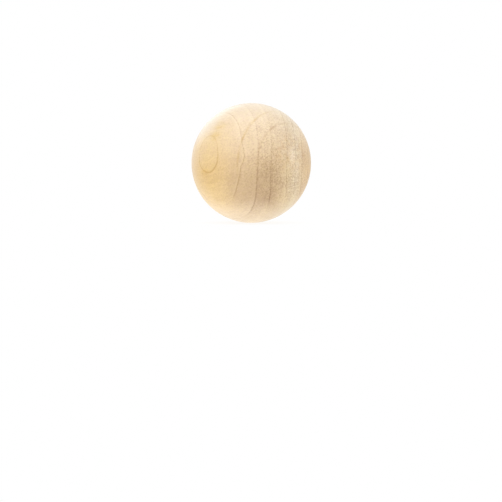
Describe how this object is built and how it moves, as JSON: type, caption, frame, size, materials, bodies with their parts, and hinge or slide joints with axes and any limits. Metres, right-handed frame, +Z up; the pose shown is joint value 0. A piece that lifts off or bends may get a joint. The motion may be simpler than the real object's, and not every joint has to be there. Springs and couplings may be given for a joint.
{
  "type": "wooden ball",
  "caption": "Plain solid ball of pale hardwood, turned and sanded to a true sphere, with no bore, flat or dimple.",
  "frame": {"origin": "the centre of the ball", "axes": "+X along the axis that the ball was turned on, about ten degrees off the run of the grain; +Z up; +Y completes a right-handed frame"},
  "size_m": [0.03, 0.03, 0.03],
  "materials": {
    "ball": "sanded bare hardwood with a soft satin sheen"
  },
  "bodies": {
    "root": {"ball": "ball"}
  },
  "joints": []
}
